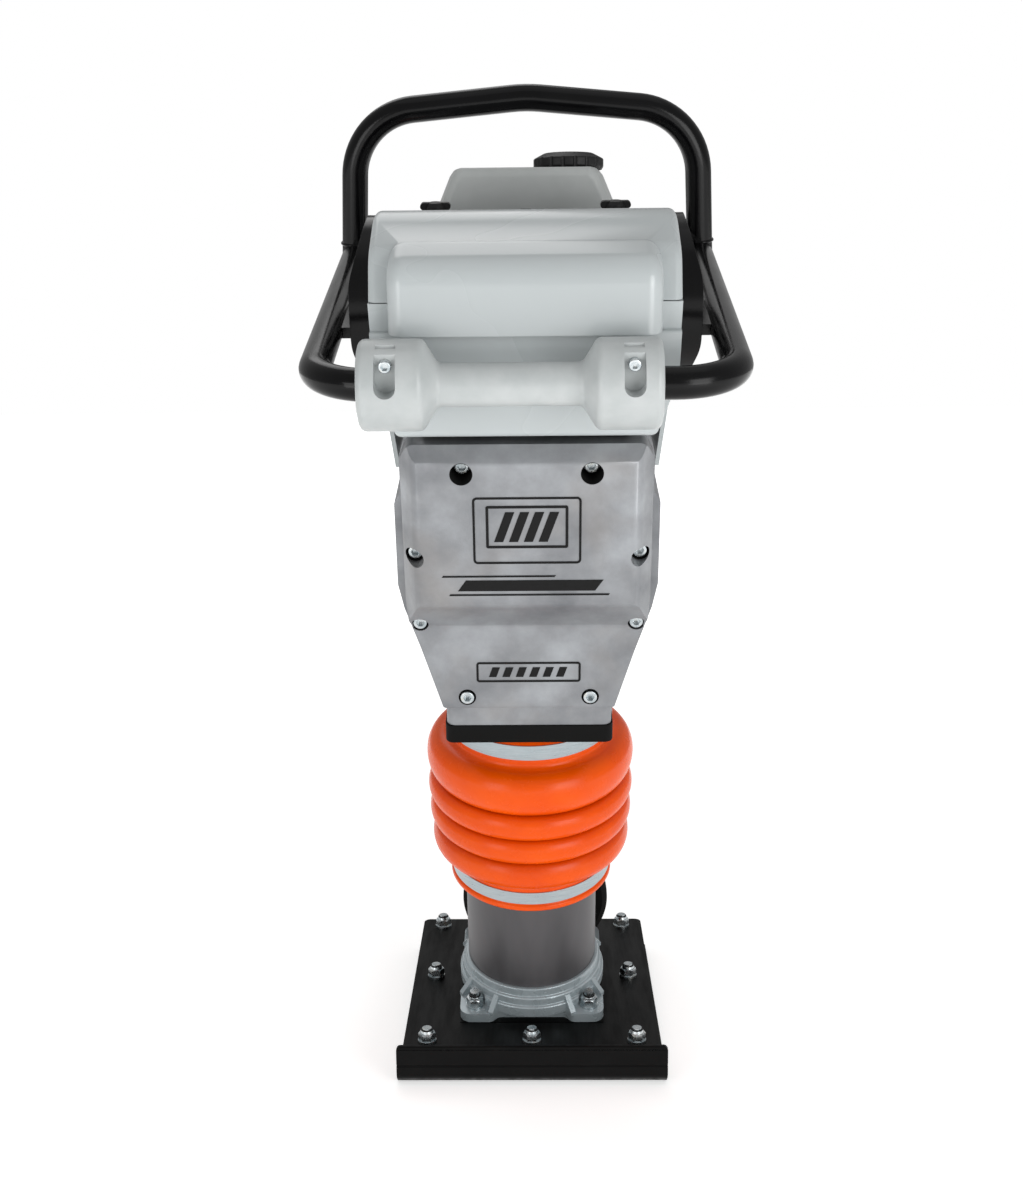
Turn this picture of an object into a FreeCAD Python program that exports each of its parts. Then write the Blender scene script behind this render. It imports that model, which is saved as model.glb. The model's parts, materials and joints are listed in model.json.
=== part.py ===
import FreeCAD, Part
import math
import os

V = FreeCAD.Vector

# ---------------------------------------------------------------- driving dimensions, mm and degrees
# The machine leans forward over its shoe. Everything above the foot plate is drawn in a leg frame:
# x across, y to the rear, z up the leg. on_leg() then leans it and sets it on the foot.
LEAN = 14.0
LEG_Y = -35.0
LEG_Z = 40.0

# shoe
SOLE_WIDTH = 285.0
SOLE_THICK = 6.0
SHOE_WIDTH = 272.0
SHOE_REAR = 165.0
SHOE_FRONT = -168.0
CORE_TOP = 34.0
PLATE_TOP = LEG_Z
SHOE_BOLT_X = 111.0
BOLT_HEAD = 22.0
SHOE_BOLT_ROWS = (-157.0, 0.0, 143.0)
LIP_TOP = 44.0
M10 = 5.0
M10_FLATS = 16.0
M10_WASHER = 9.8

# leg: sleeve, spring cylinder and guide
FLANGE_LOW = 20.0
FLANGE_TOP = 31.0
FLANGE_HALF = 78.0
FLANGE_BOLT = 62.0
SLEEVE_R = 70.5
SLEEVE_BORE = 66.5
SLEEVE_TOP = 200.0
SPRING_CYL_R = 57.0
SPRING_CYL_BORE = 51.0
SPRING_CYL_TOP = 355.0
GUIDE_R = 65.0
GUIDE_BORE = 57.4
GUIDE_LOW = 95.0
GUIDE_TOP = 394.0
NECK_R = 79.5
BELLOWS_WALL = 4.0
LIP_LOW = 173.0
SPRING_R = 41.0
SPRING_WIRE = 4.5
PISTON_Z = 190.0
ROD_R = 14.0
BUMPER_X = 4.0
BUMPER_Z = 64.0
ROD_TOP = 376.0

# crankcase and gears
CASE_FRONT = -112.0
CASE_REAR = 60.0
CASE_LOW = 413.0
CASE_FLOOR = 433.0
CASE_TOP = 706.0
CASE_WALL = 8.0
CASE_BORE = 60.0
COVER_FACE = -150.0
COVER_STEP = -125.0
COVER_LOW = 437.0
GASKET = 1.0
GEAR_Z = 560.0
GEAR_TEETH = 62
PINION_TEETH = 16
MODULE = 2.0
PINION_Z = GEAR_Z + MODULE * (GEAR_TEETH + PINION_TEETH) / 2
THROW = 22.0
ROD_LENGTH = 120.0
COVER_BOLTS = ((56.5, 681.0, -124.0, 10.0), (100.0, 601.0, -124.0, 8.6),
               (99.0, 527.0, -117.0, 8.0), (57.6, 449.0, -119.0, 8.2))

# cowl
COWL_HALF = 130.0
COWL_WALL = 4.0
COWL_REAR = 44.0
COWL_LOW = 712.0
SIDE_SEAM = 829.0
FRONT_SEAM = 806.0
BULGE_HALF = 113.0
HOOK_THICK = 10.0
HOOK_EYE_R = 13.0
HOOK_Y = 80.0
HOOK_Z = 838.0
KNOB_X = 82.0
KNOB_Y = 30.0

# handle
TUBE_R = 13.6
TUBE_BORE = 11.0
LOOP_Z = 777.0
LOOP_HALF = 185.0
LOOP_FRONT_HALF = 174.5
LOOP_BEND = 55.0
LOOP_FRONT = -200.0
LOOP_REAR = 265.0
HOOP_TOP = 938.5
HOOP_SHOULDER_X = 177.0
HOOP_SHOULDER_Z = 922.0
ROCK_Y = 0.0
ROCK_Z = 797.0
MOUNT_Z = 801.0
DISH_R = 74.0
MOUNT_Y = 32.0
ROLLER_X = -12.0
ROLLER_HALF = 121.5
ROLLER_R = 37.0
ROLLER_WAIST = 17.7

# engine and tank
TANK_FRONT = 110.0
TANK_REAR = 238.0
TANK_TOP = 895.0
CAP_X = 42.0
CAP_Y = 165.0


# ---------------------------------------------------------------- building blocks
def box(x0, x1, y0, y1, z0, z1):
    return Part.makeBox(x1 - x0, y1 - y0, z1 - z0, V(x0, y0, z0))


def rod(radius, start, end):
    first = V(*start)
    along = V(*end) - first
    return Part.makeCylinder(radius, along.Length, first, along)


def pipe(outer, inner, start, end):
    return rod(outer, start, end).cut(rod(inner, start, end))


def rounded_wire(points, radii, closed):
    """Straight runs joined by tangent arcs; a radius of 0 leaves a corner sharp."""
    count = len(points)
    corners = []
    for i, here in enumerate(points):
        at_end = not closed and i in (0, count - 1)
        if radii[i] == 0 or at_end:
            corners.append((here, here, here))
            continue
        back = (points[i - 1] - here).normalize()
        ahead = (points[(i + 1) % count] - here).normalize()
        half = back.getAngle(ahead) / 2
        reach = radii[i] / math.tan(half)
        centre = here + (back + ahead).normalize() * (radii[i] / math.sin(half))
        middle = centre + (here - centre).normalize() * radii[i]
        corners.append((here + back * reach, middle, here + ahead * reach))
    edges = []
    for i, (start, middle, end) in enumerate(corners):
        if (start - end).Length > 1e-6:
            edges.append(Part.Arc(start, middle, end).toShape())
        follows = closed or i < count - 1
        following = corners[(i + 1) % count][0]
        if follows and (following - end).Length > 1e-6:
            edges.append(Part.LineSegment(end, following).toShape())
    return Part.Wire(edges)


def flat_face(points):
    """Face in the XY plane from (u, v) or (u, v, corner radius) points."""
    places = [V(p[0], p[1], 0) for p in points]
    radii = [p[2] if len(p) > 2 else 0 for p in points]
    return Part.Face(rounded_wire(places, radii, True))


def prism(points, axis, low, high):
    """Extrude an outline. Axis x reads (y, z) points, y reads (x, z), z reads (x, y)."""
    solid = flat_face(points).extrude(V(0, 0, high - low))
    if axis == "z":
        solid.translate(V(0, 0, low))
    if axis == "y":
        solid.rotate(V(), V(1, 0, 0), 90)
        solid.translate(V(0, high, 0))
    if axis == "x":
        solid.rotate(V(), V(1, 1, 1), 120)
        solid.translate(V(low, 0, 0))
    return solid


def turned(points, axis="z", at=(0, 0, 0)):
    """Revolve an outline of (radius, height) points about an axis through a place."""
    face = flat_face(points)
    face.rotate(V(), V(1, 0, 0), 90)
    solid = face.revolve(V(), V(0, 0, 1), 360)
    turns = {"x": 120, "y": 240, "z": 0}
    solid.rotate(V(), V(1, 1, 1), turns[axis])
    solid.translate(V(*at))
    return solid


def mirrored(points):
    """Right half of an outline, bottom to top, completed with its mirror image."""
    left = [(-p[0],) + tuple(p[1:]) for p in reversed(points)]
    return list(points) + left


def aimed(solid, at, direction):
    """Turn a solid drawn along +Z to a direction and move it to a place."""
    placed = solid.copy()
    placed.Placement = FreeCAD.Placement(V(*at), FreeCAD.Rotation(V(0, 0, 1), V(*direction)))
    return placed


def hexagon(flats, low, high):
    corner = flats / math.sqrt(3)
    points = [(corner * math.cos(math.radians(60 * i)), corner * math.sin(math.radians(60 * i)))
              for i in range(6)]
    return prism(points, "z", low, high)


def cap_screw(radius, length):
    """Socket head screw drawn along +Z, its seat at z = 0 and its shank below."""
    head = turned([(0, 0), (radius * 1.6, 0), (radius * 1.6, radius * 2, 1), (0, radius * 2)])
    shank = rod(radius, (0, 0, -length), (0, 0, 0))
    return head.fuse(shank).cut(hexagon(radius * 1.7, radius * 0.8, radius * 2 + 1))


def lock_nut(radius, flats, washer, spare):
    """Washer, nut with its round collar, and the end of the stud above it, on z = 0."""
    low = 2.5
    top = low + radius * 1.6
    chamfer = turned([(0, 0), (flats * 0.5, 0), (flats * 0.58, flats * 0.07), (flats * 0.58, top - 1.4),
                      (flats * 0.5, top), (0, top)])
    nut = hexagon(flats, low, top).common(chamfer)
    collar = turned([(0, top), (flats * 0.44, top), (flats * 0.40, top + 3, 1), (0, top + 3)])
    stud = rod(radius, (0, 0, top), (0, 0, top + 3 + spare))
    solid = rod(washer, (0, 0, 0), (0, 0, low)).fuse([nut, collar, stud])
    return solid.removeSplitter()


def swept(points, radii, radius, bore=0):
    """Tube along a route with bent corners."""
    wire = rounded_wire([V(*p) for p in points], radii, False)
    start = V(*points[0])
    along = V(*points[1]) - start

    def along_route(r):
        ring = Part.Wire([Part.makeCircle(r, start, along)])
        return wire.makePipeShell([ring], True, True)

    solid = along_route(radius)
    if bore:
        solid = solid.cut(along_route(bore))
    return solid


def spring(mean, wire_radius, low, high, turns):
    pitch = (high - low - 2 * wire_radius) / turns
    helix = Part.makeHelix(pitch, pitch * turns, mean)
    ring = Part.Wire([Part.makeCircle(wire_radius, V(mean, 0, 0), V(0, 1, 0))])
    coil = Part.Wire(helix).makePipeShell([ring], True, True)
    coil.translate(V(0, 0, low + wire_radius))
    return coil


def spur_gear(teeth, low, high, phase):
    """Plain toothed wheel about the y axis at the origin, with working backlash."""
    pitch_r = MODULE * teeth / 2
    step = 2 * math.pi / teeth
    points = []
    for i in range(teeth):
        for share, rise in ((-0.34, -2.3), (-0.12, 1.7), (0.12, 1.7), (0.34, -2.3)):
            angle = (i + phase + share) * step
            radius = pitch_r + rise
            points.append((radius * math.sin(angle), radius * math.cos(angle)))
    return prism(list(reversed(points)), "y", low, high)


def joined(solids):
    result = solids[0].fuse(solids[1:])
    return result.removeSplitter()


def minus(solid, tools):
    for tool in tools:
        solid = solid.cut(tool)
    return solid


def both_sides(solid):
    return [solid, solid.mirror(V(), V(1, 0, 0))]


def on_leg(shape):
    placed = shape.copy()
    placed.rotate(V(), V(1, 0, 0), LEAN)
    placed.translate(V(0, LEG_Y, LEG_Z))
    return placed


def save(node, shape):
    """Write one node; a list becomes a group of separate solids."""
    if isinstance(shape, list):
        shape = Part.makeCompound(shape)
    volumes = [s.Volume for s in shape.Solids]
    sound = shape.isValid() and min(volumes) > 0
    print(node, len(volumes), round(sum(volumes) / 1000, 1), "" if sound else "BAD")
    shape.exportStep("parts/" + node + ".step")


def save_leg(node, shape):
    if isinstance(shape, list):
        shape = Part.makeCompound(shape)
    save(node, on_leg(shape))


# ---------------------------------------------------------------- shoe, drawn upright
def shoe():
    half = SOLE_WIDTH / 2
    sole = prism([(SHOE_REAR, 0), (SHOE_REAR, SOLE_THICK), (-155, SOLE_THICK, 12), (-171.5, 24, 8),
                  (-171.5, LIP_TOP, 2), (-178, LIP_TOP, 2), (-178, 23.5), (-176.6, 22), (-178, 20.5),
                  (-178, 9, 8), (-168, 0, 10)], "x", -half, half)
    corners = prism([(-half, -1), (half, -1), (half, LIP_TOP, 5), (-half, LIP_TOP, 5)], "y", -200, 200)
    sole = sole.common(corners)
    core = prism([(SHOE_REAR - 1, SOLE_THICK), (SHOE_REAR - 1, CORE_TOP), (-170.5, CORE_TOP), (-170.5, 26, 6),
                  (-152, SOLE_THICK, 12)], "x", -SHOE_WIDTH / 2 + 1, SHOE_WIDTH / 2 - 1)
    half = SHOE_WIDTH / 2
    plate = prism([(-half, SHOE_FRONT, 4), (half, SHOE_FRONT, 4), (half, SHOE_REAR, 8),
                   (-half, SHOE_REAR, 8)], "z", CORE_TOP, PLATE_TOP)
    places = [(x, y) for y in SHOE_BOLT_ROWS for x in (-SHOE_BOLT_X, SHOE_BOLT_X)]
    places.append((0, SHOE_BOLT_ROWS[0]))
    bolts = []
    for x, y in places:
        head = rod(M10 * 1.5, (x, y, BOLT_HEAD), (x, y, BOLT_HEAD + 5))
        nut = lock_nut(M10, M10_FLATS, M10_WASHER, 2)
        nut.translate(V(x, y, PLATE_TOP))
        bolts.append(joined([head, rod(M10, (x, y, BOLT_HEAD), (x, y, PLATE_TOP)), nut]))
    save("wear_sole", sole)
    save("shoe_core", minus(core, bolts))
    save("foot_plate", minus(plate, bolts))
    save("shoe_bolts", bolts)


def pedestal():
    """Wedge that leans the leg: level below, square to the leg above."""
    low = on_leg(box(-FLANGE_HALF, FLANGE_HALF, -FLANGE_HALF, FLANGE_HALF, -80, FLANGE_LOW))
    above = box(-200, 200, -300, 300, PLATE_TOP, 200)
    wedge = low.common(above)
    rear = box(-FLANGE_HALF, FLANGE_HALF, -10, 62, PLATE_TOP, 120).common(
        on_leg(box(-200, 200, -200, FLANGE_HALF, -80, FLANGE_LOW)))
    save("foot_pedestal", wedge.fuse(rear).removeSplitter())


# ---------------------------------------------------------------- leg, drawn in the leg frame
def leg_flange():
    corner = [(44, -78, 8), (78, -78, 12), (78, -44, 8), (70, -36, 6)]
    front = [(-36, -70, 6), (36, -70, 6)] + corner
    rear = [(70, 36, 6), (78, 44, 8), (78, 78, 12), (44, 78, 8), (36, 70, 6), (-36, 70, 6),
            (-44, 78, 8), (-78, 78, 12), (-78, 44, 8), (-70, 36, 6), (-70, -36, 6), (-78, -44, 8),
            (-78, -78, 12), (-44, -78, 8)]
    base = prism(front + rear, "z", FLANGE_LOW, FLANGE_TOP)
    collar = turned([(SLEEVE_R, 29), (80, 29), (80, 41, 2), (77, 41, 1), (77, 51, 2), (74, 51, 1),
                     (74, 61, 1.5), (SLEEVE_R, 61)])
    ribs = []
    for quarter in range(4):
        for swing in (-15, 15):
            rib = prism([(74, 29), (90, 29), (90, 33), (76, 49), (74, 49)], "y", -3, 3)
            rib.rotate(V(), V(0, 0, 1), 45 + 90 * quarter + swing)
            ribs.append(rib)
    solid = joined([base, collar] + ribs)
    solid = solid.cut(rod(SLEEVE_R, (0, 0, FLANGE_TOP), (0, 0, 70)))
    studs = []
    nuts = []
    for x in (-FLANGE_BOLT, FLANGE_BOLT):
        for y in (-FLANGE_BOLT, FLANGE_BOLT):
            solid = solid.cut(rod(M10_WASHER + 1, (x, y, FLANGE_TOP), (x, y, 60)))
            studs.append(rod(M10, (x, y, FLANGE_LOW), (x, y, FLANGE_TOP)))
            nut = lock_nut(M10, M10_FLATS, M10_WASHER, 5)
            nut.translate(V(x, y, FLANGE_TOP))
            nuts.append(studs[-1].fuse(nut).removeSplitter())
    save_leg("leg_flange", minus(solid, studs))
    save_leg("flange_bolts", nuts)


def leg_tubes():
    sleeve = turned([(SLEEVE_BORE, FLANGE_TOP), (SLEEVE_R, FLANGE_TOP), (SLEEVE_R, 172), (NECK_R, 172),
                     (NECK_R, SLEEVE_TOP, 2), (SLEEVE_BORE, SLEEVE_TOP)])
    cylinder = turned([(SPRING_CYL_BORE, FLANGE_TOP), (SPRING_CYL_R, FLANGE_TOP),
                       (SPRING_CYL_R, SPRING_CYL_TOP, 2), (ROD_R + 0.5, SPRING_CYL_TOP),
                       (ROD_R + 0.5, SPRING_CYL_TOP - 10), (SPRING_CYL_BORE, SPRING_CYL_TOP - 10)])
    guide = turned([(GUIDE_BORE, GUIDE_LOW), (GUIDE_R, GUIDE_LOW), (GUIDE_R, 386), (75.5, 386), (75.5, 345),
                    (NECK_R, 345, 1), (NECK_R, GUIDE_TOP), (GUIDE_BORE, GUIDE_TOP)])
    save_leg("protection_sleeve", sleeve)
    save_leg("spring_cylinder", cylinder)
    save_leg("guide_cylinder", guide)


def bellows():
    """Accordion boot: (radius, height, corner radius) of the outer skin from the lower neck up."""
    neck = NECK_R + 0.1 + BELLOWS_WALL
    skin = [(neck + 2.4, LIP_LOW, 1), (neck + 2.4, LIP_LOW + 5, 1), (neck, LIP_LOW + 6, 0.5), (neck, 206, 5),
            (104, 223, 9), (90, 240, 4), (106, 254.5, 9), (91, 269, 4), (107, 283.5, 9), (91, 298, 4),
            (107.5, 320, 17), (neck, 345, 6), (neck, 380)]
    wall = [(r - BELLOWS_WALL, z, 2) for r, z, _ in skin[4:11]]
    inner = [(neck - BELLOWS_WALL, 206, 2)] + wall + [(neck - BELLOWS_WALL, 345, 2)]
    low = [(NECK_R + 0.1, LIP_LOW)]
    high = [(NECK_R + 0.1, 380)]
    save_leg("bellows", turned(skin + high + list(reversed(inner)) + low))


def clamp_band(low, high, slack):
    """Worm drive band with its screw housing at the rear."""
    inner = NECK_R + 0.1 + BELLOWS_WALL + slack
    band = turned([(inner, low), (inner + 1.2, low), (inner + 1.2, high), (inner, high)])
    middle = (low + high) / 2
    housing = box(-10, 10, inner, inner + 7, low - 1, high + 1)
    housing = housing.cut(rod(inner + 0.01, (0, 0, low - 5), (0, 0, high + 5)))
    screw = rod(3.2, (-16, inner + 6, middle), (22, inner + 6, middle))
    return joined([band, housing, screw])


def springs():
    lower = spring(SPRING_R, SPRING_WIRE, FLANGE_TOP + 2, PISTON_Z - 2, 7)
    upper = spring(SPRING_R, SPRING_WIRE, PISTON_Z + 18, SPRING_CYL_TOP - 12, 5)
    save_leg("main_springs", [lower, upper])


def piston():
    disc = turned([(0, PISTON_Z), (50.4, PISTON_Z, 1), (50.4, PISTON_Z + 16, 1), (0, PISTON_Z + 16)])
    shank = rod(ROD_R, (0, 0, PISTON_Z), (0, 0, ROD_TOP))
    eye = rod(6.1, (-20, 0, ROD_TOP - 14), (20, 0, ROD_TOP - 14))
    save_leg("piston_rod", disc.fuse(shank).removeSplitter().cut(eye))


def rear_bumper():
    """Rubber disc behind the sleeve that the tool rolls on when it is laid back."""
    disc = turned([(0, 81), (78, 81), (84, 85, 3), (84, 95, 3), (76, 99, 3), (0, 99)], "y",
                  (BUMPER_X, 0, BUMPER_Z))
    for z in (BUMPER_Z - 24, BUMPER_Z + 24):
        disc = disc.cut(rod(11, (BUMPER_X, 90, z), (BUMPER_X, 110, z)))
    save_leg("rear_bumper", disc)


# ---------------------------------------------------------------- crankcase group
CASE_HALF = [(80, CASE_FLOOR, 4), (114, 536, 14), (119, 560, 14), (119, 640, 5), (113, 650, 3),
             (113, 684, 10), (105, CASE_TOP, 8)]
COVER_HALF = [(80, COVER_LOW, 4), (109, 534, 14), (111, 556, 14), (111, 688, 12),
              (103, CASE_TOP - 1, 8)]
INNER_HALF = [(70, CASE_FLOOR + 9, 4), (100, 540, 10), (102, 556, 10), (102, 684, 8),
              (96, CASE_TOP - 9, 6)]


def cover_screws():
    screws = []
    for x, z, seat, _ in COVER_BOLTS:
        for side in (-1, 1):
            screws.append(aimed(cap_screw(4.0, 28), (side * x, seat, z), (0, -1, 0)))
    return screws


def crankcase(screws):
    outer = prism(mirrored(CASE_HALF), "y", CASE_FRONT, CASE_REAR)
    flange = prism([(-78.5, -115, 8), (78.5, -115, 8), (78.5, 100, 8), (-78.5, 100, 8)], "z",
                   CASE_LOW, CASE_FLOOR)
    step = prism([(-74, -112, 4), (74, -112, 4), (70, 60, 4), (-70, 60, 4)], "z",
                 CASE_FLOOR - 2, CASE_FLOOR + 12)
    foot = CASE_FLOOR - 1
    web = [prism([(58, foot), (100, foot), (58, 490)], "x", x - 4, x + 4) for x in (-50, 50)]
    bosses = []
    for x, z, _, _ in COVER_BOLTS:
        for side in (-1, 1):
            bosses.append(rod(18, (side * x, CASE_FRONT, z), (side * x, CASE_FRONT + 34, z)))
    cavity = prism(mirrored(INNER_HALF), "y", CASE_FRONT - 1, CASE_REAR - 10)
    pillars = joined(bosses).common(outer)
    shell = outer.cut(cavity).fuse([pillars, flange, step] + web)
    shell = shell.cut(rod(CASE_BORE, (0, 0, CASE_LOW - 1), (0, 0, CASE_FLOOR + 30)))
    shell = shell.cut(rod(18, (0, 40, PINION_Z), (0, 70, PINION_Z)))
    sight = rod(11, (0, 55, 480), (0, CASE_REAR + 1, 480))
    shell = minus(shell.cut(sight), screws)
    fins = [box(-90 + 30 * i, -86 + 30 * i, CASE_REAR, CASE_REAR + 8, 500, 575) for i in range(7)]
    shell = shell.fuse(fins).removeSplitter()
    save_leg("crankcase", shell)
    save_leg("oil_sight_glass", rod(11, (0, 55, 480), (0, CASE_REAR + 4, 480)))
    rear = pipe(18, 8.06, (0, CASE_REAR - 12, PINION_Z), (0, CASE_REAR, PINION_Z))
    front = pipe(22, ROD_R + 0.06, (0, CASE_FRONT, GEAR_Z), (0, CASE_FRONT + 14, GEAR_Z))
    save_leg("crank_bearings", [rear, front])


def crankcase_cover(screws):
    front = prism(mirrored(COVER_HALF), "y", COVER_FACE, CASE_FRONT - GASKET)
    relief = prism([(CASE_FRONT, COVER_LOW - 2), (COVER_STEP + 1.5, COVER_LOW - 2),
                    (COVER_STEP, COVER_LOW + 2), (COVER_STEP, 523, 12), (COVER_FACE, 556, 16),
                    (COVER_FACE, 690, 12), (COVER_FACE + 10, CASE_TOP), (CASE_FRONT, CASE_TOP)],
                   "x", -130, 130)
    chamfers = prism([(-126, CASE_FRONT), (-111, COVER_FACE + 22, 8), (-98, COVER_FACE, 12),
                      (98, COVER_FACE, 12), (111, COVER_FACE + 22, 8), (126, CASE_FRONT)], "z", 400, 730)
    outer = front.common(relief).common(chamfers)
    cavity = prism([(CASE_FRONT, 452), (COVER_STEP + 6, 452), (COVER_STEP + 6, 528),
                    (COVER_FACE + 7, 562), (COVER_FACE + 7, 690), (CASE_FRONT, 690)], "x", -94, 94)
    cavity = cavity.common(prism(mirrored(INNER_HALF), "y", COVER_FACE, CASE_FRONT + 1))
    pillars = []
    for x, z, _, _ in COVER_BOLTS:
        front_y = COVER_FACE + 6 if z > GEAR_Z else COVER_STEP + 3
        pillars += both_sides(rod(13, (x, front_y, z), (x, CASE_FRONT - GASKET, z)))
    hub = rod(27, (0, COVER_FACE + 5, GEAR_Z), (0, CASE_FRONT + 14, GEAR_Z))
    hub = hub.common(prism([(CASE_FRONT + 14, 500), (COVER_STEP + 3, 500), (COVER_STEP + 3, 530),
                            (COVER_FACE + 4, 562), (COVER_FACE + 4, 620), (CASE_FRONT + 14, 620)],
                           "x", -40, 40))
    shell = outer.cut(cavity).fuse([p.common(outer) for p in pillars] + [hub])
    shell = shell.cut(rod(22, (0, CASE_FRONT, GEAR_Z), (0, CASE_FRONT + 20, GEAR_Z)))
    shell = shell.cut(rod(15, (0, CASE_FRONT - 6, GEAR_Z), (0, CASE_FRONT + 1, GEAR_Z)))
    for x, z, seat, bore in COVER_BOLTS:
        for side in (-1, 1):
            shell = shell.cut(rod(bore, (side * x, COVER_FACE - 5, z), (side * x, seat, z)))
    shell = minus(shell, screws).removeSplitter()
    save_leg("crankcase_cover", shell)
    seal = prism(mirrored(COVER_HALF), "y", CASE_FRONT - GASKET, CASE_FRONT)
    hole = prism(mirrored(INNER_HALF), "y", CASE_FRONT - 5, CASE_FRONT + 5)
    save_leg("cover_gasket", minus(seal.cut(hole), screws + [hub]))
    save_leg("cover_bolts", screws)


def drive():
    """Crank gear, connecting rod, and the clutch drum with its pinion."""
    gear = spur_gear(GEAR_TEETH, -40, -20, 0)
    gear.translate(V(0, 0, GEAR_Z))
    light = []
    for angle in (-30, -90, 210):
        x = 38 * math.cos(math.radians(angle))
        z = GEAR_Z + 38 * math.sin(math.radians(angle))
        light.append(rod(13, (x, -50, z), (x, 0, z)))
    shaft = rod(ROD_R, (0, CASE_FRONT + 1, GEAR_Z), (0, -40, GEAR_Z))
    pin = rod(10, (0, -21, GEAR_Z + THROW), (0, 13, GEAR_Z + THROW))
    save_leg("crank_gear", minus(gear, light).fuse([shaft, pin]).removeSplitter())
    small = GEAR_Z + THROW - ROD_LENGTH
    big_end = rod(20, (0, -11, GEAR_Z + THROW), (0, 11, GEAR_Z + THROW))
    small_end = rod(15, (0, -11, small), (0, 11, small))
    beam = prism([(-9, small), (9, small), (12, GEAR_Z + THROW), (-12, GEAR_Z + THROW)], "y", -7, 7)
    con_rod = joined([big_end, small_end, beam])
    con_rod = con_rod.cut(rod(10.06, (0, -20, GEAR_Z + THROW), (0, 20, GEAR_Z + THROW)))
    save_leg("con_rod", con_rod.cut(rod(6.1, (0, -20, small), (0, 20, small))))
    pinion = spur_gear(PINION_TEETH, -41, -19, 0.5 + PINION_TEETH / 2)
    pinion.translate(V(0, 0, PINION_Z))
    shaft = rod(8, (0, -41, PINION_Z), (0, CASE_REAR - 1, PINION_Z))
    drum = turned([(6, 18), (36, 18, 2), (36, 44), (32, 44), (32, 22), (6, 22)], "y", (0, 0, PINION_Z))
    save_leg("clutch_drum", joined([pinion, shaft, drum]))


def base_plate():
    plate = prism([(-80, -116, 8), (80, -116, 8), (80, 101, 8), (-80, 101, 8)], "z", GUIDE_TOP, CASE_LOW)
    save_leg("base_rubber", plate.cut(rod(CASE_BORE, (0, 0, 380), (0, 0, 420))))


# ---------------------------------------------------------------- engine group
def engine():
    block = prism([(-64, 588, 14), (64, 588, 14), (64, 684, 10), (-64, 684, 10)], "y", CASE_REAR, 192)
    sump = [box(-58, 58, 76 + 16 * i, 80 + 16 * i, 578, 590) for i in range(7)]
    block = joined([block.cut(box(-96, 96, CASE_REAR, CASE_REAR + 8.5, 499, 599))] + sump)
    save_leg("engine_block", block)
    core = prism([(-38, 86, 8), (38, 86, 8), (38, 176, 8), (-38, 176, 8)], "z", 684, 744)
    fins = [prism([(-52, 78, 8), (52, 78, 8), (52, 184, 8), (-52, 184, 8)], "z", 690 + 8 * i, 693 + 8 * i)
            for i in range(7)]
    save_leg("engine_cylinder", joined([core] + fins))
    head = prism([(-46, 82, 10), (46, 82, 10), (46, 180, 10), (-46, 180, 10)], "z", 744, 754)
    rocker = prism([(-34, 92, 10), (34, 92, 10), (34, 170, 10), (-34, 170, 10)], "z", 754, 768)
    save_leg("cylinder_head", joined([head, rocker]))
    hexed = aimed(hexagon(13, 0, 8), (46, 131, 752), (1, 0, 0))
    boot = rod(6, (54, 131, 752), (68, 131, 752))
    save_leg("spark_plug", joined([hexed, boot]))
    cowling = prism(mirrored([(48, 560, 30), (84, 616, 60), (84, 640), (66, 768, 14)]), "y", 192, 226)
    hollow = prism(mirrored([(46, 564, 28), (80, 618, 56), (80, 640), (62, 764, 12)]), "y", 191, 222)
    shroud = cowling.cut(hollow).cut(rod(50, (0, 220, PINION_Z), (0, 230, PINION_Z)))
    rails = [box(x - 8, x + 8, TANK_FRONT - 2, TANK_REAR - 20, 771, 775) for x in (-40, 40)]
    posts = [box(x - 8, x + 8, 210, 216, 764, 772) for x in (-40, 40)]
    save_leg("fan_shroud", joined([shroud] + rails + posts))
    blades = [box(-2, 2, 196, 214, 18, 44) for i in range(10)]
    for i, blade in enumerate(blades):
        blade.rotate(V(), V(0, 1, 0), 36 * i)
        blade.translate(V(0, 0, PINION_Z))
    wheel = turned([(0, 193), (44, 193), (44, 197), (20, 201), (20, 214), (0, 214)], "y", (0, 0, PINION_Z))
    save_leg("fan_wheel", joined([wheel] + blades))
    dish = turned([(0, 252), (30, 252, 6), (72, 246, 12), (78, 226), (74, 226), (69, 242, 8),
                   (30, 247, 4), (0, 247)], "y", (0, 0, PINION_Z))
    vents = []
    for i in range(12):
        vent = box(-3.5, 3.5, 236, 260, 38, 62)
        vent.rotate(V(), V(0, 1, 0), 30 * i + 15)
        vent.translate(V(0, 0, PINION_Z))
        vents.append(vent)
    guide = rod(9, (48, 240, 694), (48, 255, 694))
    dish = minus(dish.fuse(guide), vents).cut(rod(3.3, (48, 230, 694), (48, 260, 694)))
    save_leg("recoil_housing", dish.removeSplitter())
    grip = prism([(-26, 0, 5), (26, 0, 5), (20, 12, 6), (-20, 12, 6)], "z", -7, 7)
    neck = rod(7, (0, -6, 0), (0, 2, 0))
    grip = joined([grip, neck])
    grip.translate(V(48, 262, 694))
    save_leg("starter_grip", grip)


def exhaust():
    shell = prism([(82, 650, 14), (116, 650, 14), (116, 742, 14), (82, 742, 14)], "y", 74, 188)
    port = rod(11, (64, 130, 672), (84, 130, 672))
    tail = pipe(9, 7, (100, 186, 668), (100, 206, 668))
    save_leg("muffler", joined([shell.fuse(port), tail]))
    guard = prism([(118, 640), (122, 640), (122, 752, 10), (84, 752), (84, 748), (118, 748, 6)], "y", 68, 194)
    slots = [box(110, 130, 80 + 18 * i, 90 + 18 * i, 660, 732) for i in range(6)]
    save_leg("muffler_guard", minus(guard, slots))


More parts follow.
